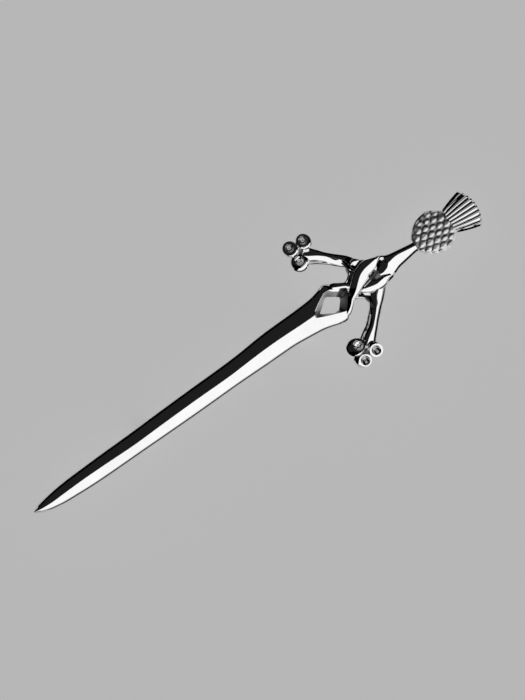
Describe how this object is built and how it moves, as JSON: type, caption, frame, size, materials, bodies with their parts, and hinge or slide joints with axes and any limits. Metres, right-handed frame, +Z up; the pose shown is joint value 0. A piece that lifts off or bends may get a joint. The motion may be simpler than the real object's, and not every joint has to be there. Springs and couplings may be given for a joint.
{
  "type": "kilt pin",
  "caption": "Polished cast kilt pin in the form of a two-handed sword with a thistle pommel, on a brooch fitting that pins through cloth.",
  "frame": {"origin": "on the surface that the pin rests on, below the middle of the sword's length and width", "axes": "+X along the sword from its tip to its thistle, +Z up out of its face, +Y across the sword, to the side that is upper in the picture"},
  "size_m": [0.09, 0.0248, 0.0099],
  "materials": {
    "polished_casting": "mirror polish, bright silver",
    "plated_steel": "plain bright plate"
  },
  "bodies": {
    "root": {"sword_casting": "polished_casting", "brooch_pin": "plated_steel"}
  },
  "joints": []
}
